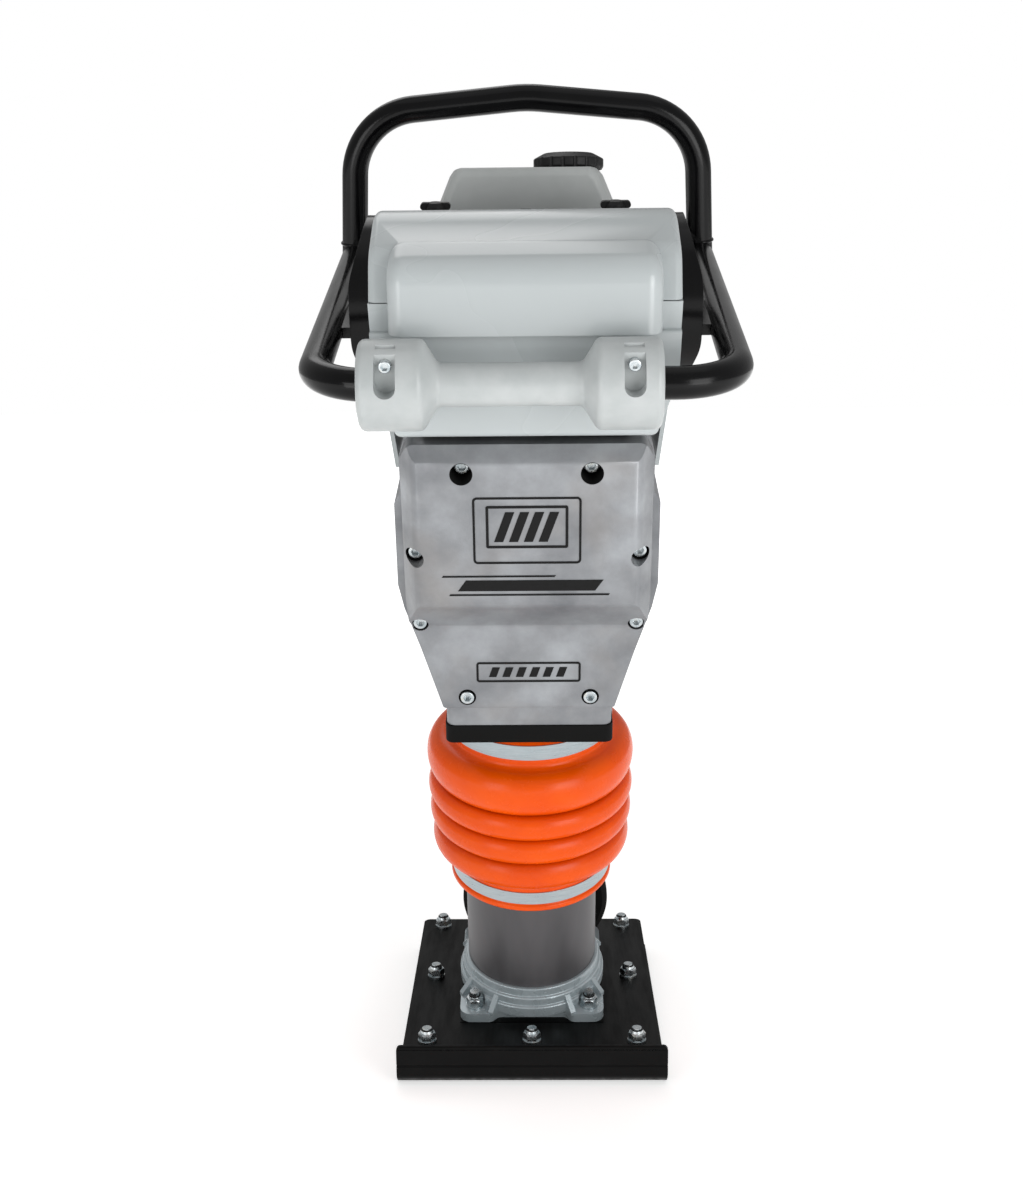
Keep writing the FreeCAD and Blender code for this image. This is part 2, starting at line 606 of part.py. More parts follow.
def intake():
    body = prism([(-96, 640, 6), (-68, 640, 6), (-68, 684, 6), (-96, 684, 6)], "y", 96, 138)
    throat = rod(15, (-64, 118, 664), (-69, 118, 664))
    bowl = rod(14, (-82, 118, 618), (-82, 118, 641))
    save_leg("carburettor", joined([body, throat, bowl]))
    lever = prism([(-6, -5, 2), (34, -4, 3), (34, 4, 3), (-6, 5, 2)], "y", -2, 2)
    lever = lever.fuse(rod(4, (0, 0, 0), (0, -10, 0)))
    lever.rotate(V(), V(0, 0, 1), -90)
    lever.translate(V(-98.4, 128, 672))
    return lever


def air_cleaner():
    base = prism([(-92, -118, 20), (92, -118, 20), (92, 26, 20), (-92, 26, 20)], "z", 716, 744)
    dome = prism([(-88, -114, 18), (88, -114, 18), (88, 22, 18), (-88, 22, 18)], "z", 744.5, 846)
    inside = prism([(-84, -110, 16), (84, -110, 16), (84, 18, 16), (-84, 18, 16)], "z", 744, 842)
    for x in (-KNOB_X, KNOB_X):
        dome = dome.cut(rod(7.5, (x, KNOB_Y, 700), (x, KNOB_Y, 860)))
    element = prism([(-64, -90, 16), (64, -90, 16), (64, -2, 16), (-64, -2, 16)], "z", 744.5, 830)
    core = prism([(-40, -66, 10), (40, -66, 10), (40, -26, 10), (-40, -26, 10)], "z", 744, 815)
    posts = [rod(7, (x, KNOB_Y, 720), (x, KNOB_Y, 846)) for x in (-KNOB_X, KNOB_X)]
    ears = [box(x - 8, x + 8, 10, KNOB_Y, 718, 742) for x in (-KNOB_X + 4, KNOB_X - 4)]
    save_leg("air_cleaner_base", joined([base] + posts + ears))
    save_leg("air_cleaner_cover", dome.cut(inside))
    save_leg("air_element", element.cut(core))


def tank():
    half = [(99, 775, 18), (99, 818, 24), (66, TANK_TOP, 22)]
    body = prism(mirrored(half), "y", TANK_FRONT, TANK_REAR)
    fall = math.tan(math.radians(LEAN))
    rear_top = TANK_TOP - (TANK_REAR - TANK_FRONT) * fall
    under = prism([(TANK_FRONT - 1, 700), (TANK_REAR + 1, 700), (TANK_REAR + 1, rear_top),
                   (TANK_FRONT - 1, TANK_TOP + 0.2)], "x", -150, 150)
    body = body.common(under)
    ends = [e for e in body.Edges if abs(e.BoundBox.YLength) < 0.5 and e.BoundBox.ZMin > 776]
    body = body.makeFillet(8, ends)
    top = TANK_TOP - (CAP_Y - TANK_FRONT) * fall
    neck = turned([(0, 0), (24, 0), (24, 12), (0, 12)])
    upright = (0, math.sin(math.radians(LEAN)), math.cos(math.radians(LEAN)))
    neck = aimed(neck, (CAP_X, CAP_Y, top - 5), upright)
    cock = [rod(10, (-76, 170, 762), (-76, 170, 778)), box(-87, -65, 162, 188, 748, 763),
            rod(4, (-76, 170, 738), (-76, 170, 750))]
    tank_body = joined([body, neck] + cock)
    save_leg("fuel_tank", tank_body)
    cap = turned([(0, 12.3), (24.4, 12.3), (24.4, 5.5), (33, 5.5), (34.5, 8, 2), (34.5, 15.5, 2),
                  (24, 21, 4), (0, 21)])
    for i in range(18):
        groove = rod(2.2, (35.2, 0, 4), (35.2, 0, 26))
        groove.rotate(V(), V(0, 0, 1), 20 * i)
        cap = cap.cut(groove)
    cap = aimed(cap, (CAP_X, CAP_Y, top - 5), upright)
    save_leg("fuel_cap", cap)
    tap = joined([rod(5, (-87.4, 180, 757), (-92, 180, 757)), box(-96, -92, 176, 184, 735, 761)])
    save_leg("fuel_cock_lever", tap)


# ---------------------------------------------------------------- cowl group
def upper_cowl():
    hood = [(COWL_REAR, SIDE_SEAM), (COWL_REAR, 862, 10), (-58, 889, 70), (-122, 866, 36),
            (-141, SIDE_SEAM)]
    hood_in = [(COWL_REAR - 4, SIDE_SEAM - 1), (COWL_REAR - 4, 859, 6), (-58, 885, 66),
               (-119, 863, 32), (-137, SIDE_SEAM - 1)]
    bulge = [(-60, FRONT_SEAM), (-60, 867), (-116, 873, 20), (-158, 864, 26), (-163, FRONT_SEAM)]
    bulge_in = [(-60, FRONT_SEAM - 1), (-60, 863), (-116, 869, 16), (-154, 860, 22),
                (-159, FRONT_SEAM - 1)]
    outer = prism(hood, "x", -COWL_HALF, COWL_HALF)
    rim = [e for e in outer.Edges if abs(e.BoundBox.XLength) < 0.1 and e.BoundBox.ZMax > SIDE_SEAM + 1]
    outer = outer.makeFillet(7, rim)
    nose = prism(bulge, "x", -BULGE_HALF, BULGE_HALF)
    rim = [e for e in nose.Edges if abs(e.BoundBox.XLength) < 0.1 and e.BoundBox.ZMax > FRONT_SEAM + 1
           and e.BoundBox.YMin < -61]
    nose = nose.makeFillet(14, rim)
    inner = prism(hood_in, "x", -COWL_HALF + COWL_WALL, COWL_HALF - COWL_WALL)
    nose_in = prism(bulge_in, "x", -BULGE_HALF + COWL_WALL, BULGE_HALF - COWL_WALL)
    rim = [e for e in nose_in.Edges if abs(e.BoundBox.XLength) < 0.1 and e.BoundBox.ZMax > FRONT_SEAM + 1
           and e.BoundBox.YMin < -61]
    nose_in = nose_in.makeFillet(11, rim)
    shell = outer.fuse(nose).cut(inner).cut(nose_in)
    trimmed = shell.cut(box(-200, 200, -136, 60, FRONT_SEAM - 5, SIDE_SEAM))
    for x in (-KNOB_X, KNOB_X):
        trimmed = trimmed.cut(rod(5, (x, KNOB_Y, 850), (x, KNOB_Y, 880)))
    save_leg("upper_cowl", trimmed)


def lower_cowl():
    """Front scoop under the nose with side skirts that run down beside the crankcase."""
    inside = COWL_HALF - COWL_WALL
    wide = [(110, COWL_LOW, 10), (128, 766, 20), (COWL_HALF, SIDE_SEAM - 1)]
    skirt = [(120.8, 655), (127, 706, 60), (128.5, 766, 40), (COWL_HALF, SIDE_SEAM - 1)]
    wide_in = [(106, COWL_LOW + COWL_WALL, 8), (124, 767, 18), (inside, SIDE_SEAM + 1)]
    skirt_in = [(116.8, 654), (123, 706, 60), (124.5, 767, 40), (inside, SIDE_SEAM + 1)]
    front = prism(mirrored(wide), "y", -160, -60)
    profile = prism([(-60, COWL_LOW), (-146, COWL_LOW, 8), (-150, 760), (-148, FRONT_SEAM - 1, 2),
                     (-140.5, FRONT_SEAM - 1), (-140.5, SIDE_SEAM - 1), (-60, SIDE_SEAM - 1)],
                    "x", -140, 140)
    front = front.common(profile)
    hollow = prism(mirrored(wide_in), "y", -140, -55).common(
        prism([(-50, COWL_LOW + 4), (-142, COWL_LOW + 4, 5), (-146, 760), (-144, 793),
               (-136.5, 800), (-136.5, 850), (-50, 850)], "x", -140, 140))
    sides = prism(mirrored(skirt), "y", -60, COWL_REAR)
    sides = sides.cut(prism(mirrored(skirt_in), "y", -61, COWL_REAR + 1))
    shell = front.cut(hollow).cut(box(-100, 100, -130, 0, 700, 730)).fuse(sides)
    nose = BULGE_HALF + 0.6
    shell = shell.cut(box(-nose, nose, -155, -100, FRONT_SEAM - 0.8, SIDE_SEAM + 10))
    for y in (-MOUNT_Y, MOUNT_Y):
        shell = shell.cut(rod(25.8, (-200, y, MOUNT_Z), (200, y, MOUNT_Z)))
    save_leg("lower_cowl", shell.removeSplitter())


def cowl_knobs():
    knob = turned([(0, 0), (9, 0), (9, 6, 2), (6, 9, 1), (0, 9)])
    wing = prism([(-17, 2.5, 3), (17, 2.5, 3), (12, 9, 3), (-12, 9, 3)], "y", -3, 3)
    stud = rod(4, (0, 0, -22), (0, 0, 1))
    knob = joined([knob, wing, stud])
    for name, x in (("cowl_knob_left", -KNOB_X), ("cowl_knob_right", KNOB_X)):
        placed = knob.copy()
        placed.translate(V(x, KNOB_Y, 868.4))
        save_leg(name, placed)


def lifting_hook():
    """Plate in the middle of the machine with an eye that takes a shackle pin."""
    plate = prism([(30, CASE_TOP), (60, CASE_TOP, 6), (64, 800, 30), (102, 818, 14), (102, 860, 18),
                   (58, 860, 18), (48, 800, 30), (48, 720, 6), (30, 716)],
                  "x", -HOOK_THICK / 2, HOOK_THICK / 2)
    foot = box(-26, 26, 30, 59, CASE_TOP, CASE_TOP + 7)
    hook = joined([plate, foot])
    save_leg("lifting_hook", hook.cut(rod(HOOK_EYE_R, (-20, HOOK_Y, HOOK_Z), (20, HOOK_Y, HOOK_Z))))


# ---------------------------------------------------------------- handle group
def mount_brackets():
    plate = prism([(-40, 706, 10), (40, 706, 10), (54, 826, 20), (-54, 826, 20)], "x", 116.2, 120)
    bosses = [rod(24, (120, y, MOUNT_Z), (133, y, MOUNT_Z)) for y in (-MOUNT_Y, MOUNT_Y)]
    bracket = joined([plate] + bosses)
    save_leg("mount_brackets", both_sides(bracket))


def dish_plate(tube):
    """Bowed plate with an inturned rim, and the web that joins it to the loop tube."""
    bow = prism([(137, ROCK_Z - 90), (154, ROCK_Z - 30, 60), (154, ROCK_Z + 30, 60),
                 (137, ROCK_Z + 90), (132, ROCK_Z + 90), (149, ROCK_Z + 28, 56),
                 (149, ROCK_Z - 28, 56), (132, ROCK_Z - 90)], "y", -90, 90)
    round_off = rod(DISH_R, (130, ROCK_Y, ROCK_Z), (180, ROCK_Y, ROCK_Z))
    face = bow.common(round_off)
    rim = pipe(DISH_R, DISH_R - 4, (131.5, ROCK_Y, ROCK_Z), (170, ROCK_Y, ROCK_Z))
    outside = prism([(100, ROCK_Z - 90), (132.5, ROCK_Z - 90), (149.5, ROCK_Z - 28, 56),
                     (149.5, ROCK_Z + 28, 56), (132.5, ROCK_Z + 90), (100, ROCK_Z + 90)], "y", -90, 90)
    web = box(150, 176, -44, 44, LOOP_Z - 5, LOOP_Z + 5)
    return joined([face, rim.common(outside), web]).cut(tube)


def handle():
    loop_points = [(-LOOP_HALF, LOOP_REAR, LOOP_Z), (-LOOP_FRONT_HALF, LOOP_FRONT, LOOP_Z),
                   (LOOP_FRONT_HALF, LOOP_FRONT, LOOP_Z), (LOOP_HALF, LOOP_REAR, LOOP_Z)]
    bends = (0, LOOP_BEND, LOOP_BEND, 0)
    loop = swept(loop_points, bends, TUBE_R, TUBE_BORE)
    foot_x = LOOP_HALF + 1
    hoop_points = [(-foot_x, LOOP_REAR, LOOP_Z - 14), (-HOOP_SHOULDER_X, LOOP_REAR, HOOP_SHOULDER_Z),
                   (0, LOOP_REAR, HOOP_TOP), (HOOP_SHOULDER_X, LOOP_REAR, HOOP_SHOULDER_Z),
                   (foot_x, LOOP_REAR, LOOP_Z - 14)]
    radii = (0, 70, 160, 70, 0)
    hoop = swept(hoop_points, radii, TUBE_R, TUBE_BORE)
    hoop_solid = swept(hoop_points, radii, TUBE_R)
    bar_z = LOOP_Z + 14
    bar = pipe(TUBE_R, TUBE_BORE, (-LOOP_HALF, LOOP_REAR, bar_z), (LOOP_HALF, LOOP_REAR, bar_z))
    loop_solid = swept(loop_points, bends, TUBE_R)
    bar = max(bar.cut(hoop_solid).cut(loop_solid).Solids, key=lambda s: s.Volume)
    loop = max(loop.cut(hoop_solid).Solids, key=lambda s: s.Volume)
    save_leg("front_loop", loop)
    save_leg("rear_hoop", hoop.fuse(bar).removeSplitter())
    right = dish_plate(loop_solid)
    rubbers = []
    bolts = []
    for y in (-MOUNT_Y, MOUNT_Y):
        rubber = turned([(0, 133.3), (24, 133.3, 2), (21.5, 141, 6), (24, 156), (0, 156)], "x", (0, y, MOUNT_Z))
        inside = box(100, 149, -90, 90, ROCK_Z - 60, ROCK_Z + 60)
        inside = inside.cut(right)
        rubber = max(rubber.common(inside).Solids, key=lambda s: s.Volume)
        bolt = aimed(hexagon(16, 0, 5), (153, y, MOUNT_Z), (1, 0, 0))
        rubbers += both_sides(rubber)
        bolts += both_sides(bolt)
    left = right.mirror(V(), V(1, 0, 0))
    bolts = [bolt.cut(right).cut(left) for bolt in bolts]
    save_leg("side_plates", [left, right])
    save_leg("shock_mounts", rubbers)
    save_leg("mount_bolts", bolts)


def throttle():
    at = V(95, LOOP_REAR, LOOP_Z + 14)
    clamp = pipe(18, TUBE_R, (80, LOOP_REAR, at.z), (97.6, LOOP_REAR, at.z))
    ear = box(92, 98, LOOP_REAR + 10, LOOP_REAR + 36, at.z - 9, at.z + 9).cut(
        rod(TUBE_R + 1, (80, LOOP_REAR, at.z), (110, LOOP_REAR, at.z)))
    pivot = rod(3, (98, LOOP_REAR + 28, at.z), (106, LOOP_REAR + 28, at.z))
    save_leg("throttle_bracket", joined([clamp, ear, pivot]))
    end_y = LOOP_REAR + 74
    end_z = at.z - 34
    arm = prism([(LOOP_REAR + 18, at.z - 6, 5), (end_y - 10, end_z - 6, 4), (end_y + 6, end_z + 4, 5),
                 (LOOP_REAR + 38, at.z + 8, 7), (LOOP_REAR + 20, at.z + 8, 5)], "x", 98.4, 103)
    knob = rod(8, (94, end_y, end_z), (110, end_y, end_z))
    bore = rod(3.06, (90, LOOP_REAR + 28, at.z), (110, LOOP_REAR + 28, at.z))
    save_leg("throttle_lever", joined([arm, knob]).cut(bore))


def roller():
    mouth = ROLLER_HALF - 20
    half = [(TUBE_R + 0.1, 0), (ROLLER_WAIST, 0), (ROLLER_WAIST, 58, 6), (ROLLER_R, 70, 7),
            (ROLLER_R, ROLLER_HALF, 6), (TUBE_R + 2.6, ROLLER_HALF), (TUBE_R + 2.6, mouth),
            (TUBE_R + 0.1, mouth)]
    right = turned(half, "x")
    whole = joined(both_sides(right))
    front = whole.common(box(-200, 200, -60, -0.1, -60, 60))
    rear = whole.common(box(-200, 200, 0.1, 60, -60, 60))
    screws = []
    for x in (-98, 98):
        pocket = prism([(x - 8.5, 32), (x - 8.5, 0, 8.4), (x + 8.5, 0, 8.4), (x + 8.5, 32)], "y", -60, -20)
        front = front.cut(pocket).cut(box(x - 8, x + 8, -20, -9, ROLLER_R - 3.5, ROLLER_R + 1))
        screws.append(aimed(cap_screw(3.2, 26), (x, -20, 22.5), (0, -1, 0)))
    front = minus(front, screws)
    rear = minus(rear, screws)
    shapes = {"roller_front": front, "roller_rear": rear, "roller_bolts": Part.makeCompound(screws)}
    for name, shape in shapes.items():
        shape.translate(V(ROLLER_X, LOOP_FRONT, LOOP_Z))
        save_leg(name, shape)


# ---------------------------------------------------------------- everything
os.makedirs("parts", exist_ok=True)
shoe()
pedestal()
leg_flange()
leg_tubes()
bellows()
save_leg("lower_clamp", clamp_band(181, 195, 0))
save_leg("upper_clamp", clamp_band(355, 371, 0.3))
springs()
piston()
rear_bumper()
base_plate()
bolts = cover_screws()
crankcase(bolts)
crankcase_cover(bolts)
drive()
engine()
exhaust()
save_leg("choke_lever", intake())
air_cleaner()
tank()
upper_cowl()
lower_cowl()
cowl_knobs()
lifting_hook()
mount_brackets()
handle()
throttle()
roller()
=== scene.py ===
"""Tamping rammer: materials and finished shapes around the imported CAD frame."""
import json
import math
import bmesh
import bpy
from mathutils import Matrix, Vector

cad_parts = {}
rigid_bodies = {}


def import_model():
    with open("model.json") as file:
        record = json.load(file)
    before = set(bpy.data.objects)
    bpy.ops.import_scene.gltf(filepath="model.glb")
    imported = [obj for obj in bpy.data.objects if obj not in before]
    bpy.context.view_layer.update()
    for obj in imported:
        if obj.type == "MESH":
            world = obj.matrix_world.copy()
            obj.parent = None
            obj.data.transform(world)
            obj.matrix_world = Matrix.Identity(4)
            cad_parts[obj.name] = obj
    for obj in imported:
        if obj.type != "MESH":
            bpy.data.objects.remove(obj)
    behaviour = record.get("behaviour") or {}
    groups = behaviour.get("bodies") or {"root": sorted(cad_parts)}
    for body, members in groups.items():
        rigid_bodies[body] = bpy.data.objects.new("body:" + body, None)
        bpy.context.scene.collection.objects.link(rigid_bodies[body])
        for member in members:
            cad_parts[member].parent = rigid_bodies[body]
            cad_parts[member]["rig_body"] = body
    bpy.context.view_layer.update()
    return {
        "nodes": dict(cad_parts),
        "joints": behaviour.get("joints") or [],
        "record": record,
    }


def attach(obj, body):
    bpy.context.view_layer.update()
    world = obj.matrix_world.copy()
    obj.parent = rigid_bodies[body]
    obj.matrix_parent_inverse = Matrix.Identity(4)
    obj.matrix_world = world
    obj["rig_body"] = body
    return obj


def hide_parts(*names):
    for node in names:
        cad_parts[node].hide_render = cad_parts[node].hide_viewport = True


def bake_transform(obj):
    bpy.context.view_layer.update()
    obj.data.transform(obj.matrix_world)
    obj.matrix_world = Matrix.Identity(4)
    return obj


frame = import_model()
nodes = frame["nodes"]
joints = {joint["name"]: joint for joint in frame["joints"]}

# The leg frame of the machine, in mm: x across, y to the rear, z up the leaning leg.
LEG_FOOT = Vector((0, -0.035, 0.040))
up_leg = Vector(joints["leg_stroke"]["axis"])
LEAN = math.atan2(-up_leg.y, up_leg.z)
LEG = Matrix.Translation(LEG_FOOT) @ Matrix.Rotation(LEAN, 4, "X") @ Matrix.Scale(0.001, 4)


# ------------------------------------------------------------------ camera and studio
CAMERA_AT = (0.008, -1.657, 0.819)
CAMERA_DOWN, CAMERA_ASIDE, CAMERA_ROLL = (math.radians(degrees) for degrees in (11.4, 0.96, -0.55))
LENS_MM, SENSOR_MM = 46.0, 36.0
ROOM_LIGHT = 0.46
FLOOR_HALF = 9
# The floor's own glow near the machine, and the distances in metres where it starts to rise and is full white.
FLOOR_GLOW, GLOW_STARTS, GLOW_IS_FULL = 0.5, 0.9, 2.6
# Each soft box: place, the point that it aims at, width and height in metres, and watts.
SOFT_BOXES = {
    "key": ((1.5, -2.2, 0.85), (0, -0.15, 0.6), (1.2, 1.4), 23),
    "fill": ((-1.6, -2.4, 0.7), (0, -0.15, 0.6), (0.9, 1.3), 12),
    "top": ((0.1, -0.5, 2.6), (0, -0.2, 0.5), (1.8, 1.2), 2),
    "back": ((-0.5, 1.5, 2.7), (0, 0, 0.6), (1.4, 1.4), 9)}


def camera():
    """Stands in front at chest height and looks slightly down."""
    data = bpy.data.cameras.new("camera")
    data.sensor_fit = "VERTICAL"
    data.sensor_height = SENSOR_MM
    data.lens = LENS_MM
    eye = bpy.data.objects.new("camera", data)
    tilt = Matrix.Rotation(math.pi / 2 - CAMERA_DOWN, 4, "X")
    turn = Matrix.Rotation(CAMERA_ASIDE, 4, "Z") @ tilt @ Matrix.Rotation(CAMERA_ROLL, 4, "Z")
    eye.matrix_world = Matrix.Translation(CAMERA_AT) @ turn
    bpy.context.scene.collection.objects.link(eye)
    bpy.context.scene.camera = eye


def soft_box(name, at, aim, size, power):
    data = bpy.data.lights.new(name, "AREA")
    data.shape = "RECTANGLE"
    data.size, data.size_y = size
    data.energy = power
    light = bpy.data.objects.new(name, data)
    light.location = at
    light.rotation_euler = (Vector(aim) - Vector(at)).to_track_quat("-Z", "Y").to_euler()
    bpy.context.scene.collection.objects.link(light)


def studio():
    floor_mesh = bpy.data.meshes.new("floor")
    bm = bmesh.new()
    bmesh.ops.create_grid(bm, x_segments=1, y_segments=1, size=FLOOR_HALF)
    bm.to_mesh(floor_mesh)
    bm.free()
    floor = bpy.data.objects.new("floor", floor_mesh)
    bpy.context.scene.collection.objects.link(floor)
    floor.data.materials.append(floor_paint())
    world = bpy.data.worlds.new("studio")
    world.use_nodes = True
    tree = world.node_tree
    seen = add(tree, "LightPath").outputs["Is Camera Ray"]
    glow = add(tree, "MapRange", {"Value": seen, "To Min": ROOM_LIGHT, "To Max": 1.0}).outputs["Result"]
    tree.nodes["Background"].inputs["Color"].default_value = (1, 1, 1, 1)
    tree.links.new(glow, tree.nodes["Background"].inputs["Strength"])
    bpy.context.scene.world = world
    bpy.context.scene.view_settings.view_transform = "Standard"
    for name, (at, aim, size, power) in SOFT_BOXES.items():
        soft_box(name, at, aim, size, power)


# ------------------------------------------------------------------ node helpers
def colour(hex_value):
    """sRGB hex to the linear colour that sockets take."""
    parts = [int(hex_value[i:i + 2], 16) / 255 for i in (1, 3, 5)]
    return [c / 12.92 if c <= 0.04045 else ((c + 0.055) / 1.055) ** 2.4 for c in parts] + [1]


def add(tree, kind, sockets=None, **settings):
    """One node, with its settings, its socket values and its links."""
    node = tree.nodes.new("ShaderNode" + kind)
    for name, value in settings.items():
        setattr(node, name, value)
    for name, value in (sockets or {}).items():
        if isinstance(value, bpy.types.NodeSocket):
            tree.links.new(value, node.inputs[name])
        else:
            node.inputs[name].default_value = value
    return node


MM_PER_METRE = 1000


def grain(tree, size_mm, detail=2, stretch=(1, 1, 1)):
    """Noise on Object coordinates whose blotches are about size_mm across."""
    place = add(tree, "TexCoord").outputs["Object"]
    scaled = add(tree, "Mapping", {"Vector": place, "Scale": stretch}).outputs["Vector"]
    noise = add(tree, "TexNoise", {"Vector": scaled, "Scale": MM_PER_METRE / size_mm, "Detail": detail,
                                   "Roughness": 0.55})
    return noise.outputs["Fac"]


def shades(tree, fac, *stops):
    """Colour ramp through (position, hex) stops."""
    ramp = add(tree, "ValToRGB", {"Fac": fac})
    elements = ramp.color_ramp.elements
    while len(elements) < len(stops):
        elements.new(0.5)
    for element, (position, hex_value) in zip(elements, stops):
        element.position = position
        element.color = colour(hex_value)
    return ramp.outputs["Color"]


def spread(tree, fac, low, high, start=0.3, end=0.7):
    """A value that runs from low to high as fac runs from start to end."""
    return add(tree, "MapRange", {"Value": fac, "From Min": start, "From Max": end,
                                  "To Min": low, "To Max": high}).outputs["Result"]


def relief(tree, height, depth_mm, strength=1.0, normal=None):
    """Bump whose full height is depth_mm, on top of another bump where one is given."""
    sockets = {"Height": height, "Distance": depth_mm / MM_PER_METRE, "Strength": strength}
    if normal is not None:
        sockets["Normal"] = normal
    return add(tree, "Bump", sockets).outputs["Normal"]


def finish(name, build):
    """A material whose tree is made by build(tree), which returns the shader's sockets."""
    material = bpy.data.materials.new(name)
    material.use_nodes = True
    tree = material.node_tree
    tree.nodes.clear()
    shader = add(tree, "BsdfPrincipled", build(tree))
    output = add(tree, "OutputMaterial")
    tree.links.new(shader.outputs["BSDF"], output.inputs["Surface"])
    return material


# ------------------------------------------------------------------ finishes
def floor_paint():
    """Matt white studio sweep, lit up more and more away from the machine so that it shows no edge."""
    def build(tree):
        place = add(tree, "TexCoord").outputs["Object"]
        away = add(tree, "VectorMath", {"Vector": place}, operation="LENGTH").outputs["Value"]
        return {"Base Color": shades(tree, grain(tree, 300), (0.0, "#f4f4f3"), (1.0, "#fbfbfa")),
                "Roughness": 0.9, "Specular IOR Level": 0.1, "Emission Color": (1, 1, 1, 1),
                "Emission Strength": spread(tree, away, FLOOR_GLOW, 1.0, GLOW_STARTS, GLOW_IS_FULL)}
    return finish("studio_white", build)


def die_cast_aluminium(name, dark, middle, pale, rough):
    """Raw pressure die casting: cloudy flow marks, faint warm stains, a fine sandy skin."""
    def build(tree):
        clouds = grain(tree, 52, 5)
        flow = shades(tree, clouds, (0.25, dark), (0.5, middle), (0.75, pale))
        stain = spread(tree, grain(tree, 90, 3), 0, 0.35, 0.52, 0.7)
        base = add(tree, "Mix", {"Factor": stain, "A": flow, "B": colour("#8d8680")}, data_type="RGBA")
        sand = grain(tree, 1.1, 3)
        return {"Base Color": base.outputs[2], "Metallic": 0.55,
                "Roughness": spread(tree, clouds, rough + 0.08, rough - 0.06),
                "Normal": relief(tree, sand, 0.12)}
    return finish(name, build)


def machined_steel():
    """Ground and turned steel: fine tool marks, oily sheen."""
    def build(tree):
        marks = grain(tree, 6, 2, (1, 1, 14))
        return {"Base Color": shades(tree, marks, (0.3, "#8e9092"), (0.7, "#b4b6b8")), "Metallic": 1.0,
                "Roughness": spread(tree, marks, 0.2, 0.34), "Normal": relief(tree, marks, 0.02)}
    return finish("ground_steel", build)


def bright_zinc():
    """Zinc plated fasteners: silvery with a cool passivated tint."""
    def build(tree):
        tint = grain(tree, 7, 2)
        return {"Base Color": shades(tree, tint, (0.3, "#a6b0b4"), (0.6, "#ccd1d3"), (0.8, "#c9c7b8")),
                "Metallic": 1.0, "Roughness": spread(tree, grain(tree, 1.2), 0.2, 0.36),
                "Normal": relief(tree, grain(tree, 0.9), 0.03)}
    return finish("bright_zinc_plate", build)


def plated_sleeve():
    """Drawn steel tube with a dark grey plating, streaked along its length."""
    def build(tree):
        streaks = grain(tree, 30, 2, (1, 1, 0.1))
        return {"Base Color": shades(tree, streaks, (0.25, "#525153"), (0.5, "#59585a"), (0.8, "#626163")),
                "Metallic": 0.6, "Roughness": spread(tree, streaks, 0.4, 0.46),
                "Normal": relief(tree, grain(tree, 1.4), 0.01)}
    return finish("dark_plated_steel", build)


def black_enamel(name, gloss):
    """Black baked enamel: deep gloss with slight orange peel and dust."""
    def build(tree):
        dust = grain(tree, 60, 4)
        return {"Base Color": shades(tree, dust, (0.35, "#050506"), (0.75, "#0b0b0c")),
                "Roughness": spread(tree, dust, gloss, gloss + 0.08), "Specular IOR Level": 0.2,
                "Normal": relief(tree, grain(tree, 3.5), 0.05)}
    return finish(name, build)


def shoe_enamel():
    """Black enamel on hot rolled plate: duller, with dust and fine scuffs."""
    def build(tree):
        dust = grain(tree, 35, 5)
        scuffs = grain(tree, 9, 3, (1, 0.15, 1))
        base = shades(tree, dust, (0.3, "#060606"), (0.6, "#0a0a0a"), (0.85, "#111110"))
        skin = relief(tree, grain(tree, 2.2), 0.06)
        return {"Base Color": base, "Specular IOR Level": 0.1,
                "Roughness": spread(tree, scuffs, 0.34, 0.52, 0.35, 0.65),
                "Normal": relief(tree, scuffs, 0.05, normal=skin)}
    return finish("black_shoe_enamel", build)


def cowl_plastic():
    """Injection moulded shell in glossy light grey: smooth, a little wavy, faintly mottled."""
    def build(tree):
        mottle = grain(tree, 90, 1)
        return {"Base Color": shades(tree, mottle, (0.2, "#aeb4b5"), (0.8, "#b2b8b9")),
                "Roughness": spread(tree, mottle, 0.24, 0.3), "Coat Weight": 0.3, "Coat Roughness": 0.16,
                "Normal": relief(tree, grain(tree, 70), 0.12, 0.3)}
    return finish("glossy_grey_moulding", build)


def roller_plastic():
    """Thicker grey moulding, a little duller, with rubbed patches."""
    def build(tree):
        rub = grain(tree, 26, 4)
        return {"Base Color": shades(tree, rub, (0.3, "#a9aeae"), (0.7, "#b5b9b9")),
                "Roughness": spread(tree, rub, 0.3, 0.42), "Normal": relief(tree, grain(tree, 1.6), 0.04)}
    return finish("grey_roller_nylon", build)


def tank_plastic():
    """Blow moulded polyethylene: satin, slightly waxy."""
    def build(tree):
        wax = grain(tree, 40, 3)
        return {"Base Color": shades(tree, wax, (0.3, "#9ea1a0"), (0.7, "#a8abaa")),
                "Roughness": spread(tree, wax, 0.42, 0.52), "Normal": relief(tree, grain(tree, 1.3), 0.05)}
    return finish("grey_polyethylene", build)


def polyurethane():
    """Orange polyurethane boot: glossy skin, with painted shade that makes it deeper and redder down in the
    folds.
    """
    def build(tree):
        skin = shades(tree, grain(tree, 50, 2), (0.3, "#df4a00"), (0.7, "#e95400"))
        fold = add(tree, "Attribute", attribute_name="painted_fold_shade").outputs["Fac"]
        # Painted shade: dark red #b03000 is mixed in where the fold shade mask is low, in the valleys.
        base = add(tree, "Mix", {"Factor": fold, "A": colour("#b03000"), "B": skin}, data_type="RGBA")
        return {"Base Color": base.outputs[2],
                "Roughness": spread(tree, grain(tree, 18, 3), 0.22, 0.3), "Specular IOR Level": 0.22,
                "Normal": relief(tree, grain(tree, 12), 0.1, 0.4)}
    return finish("orange_polyurethane", build)


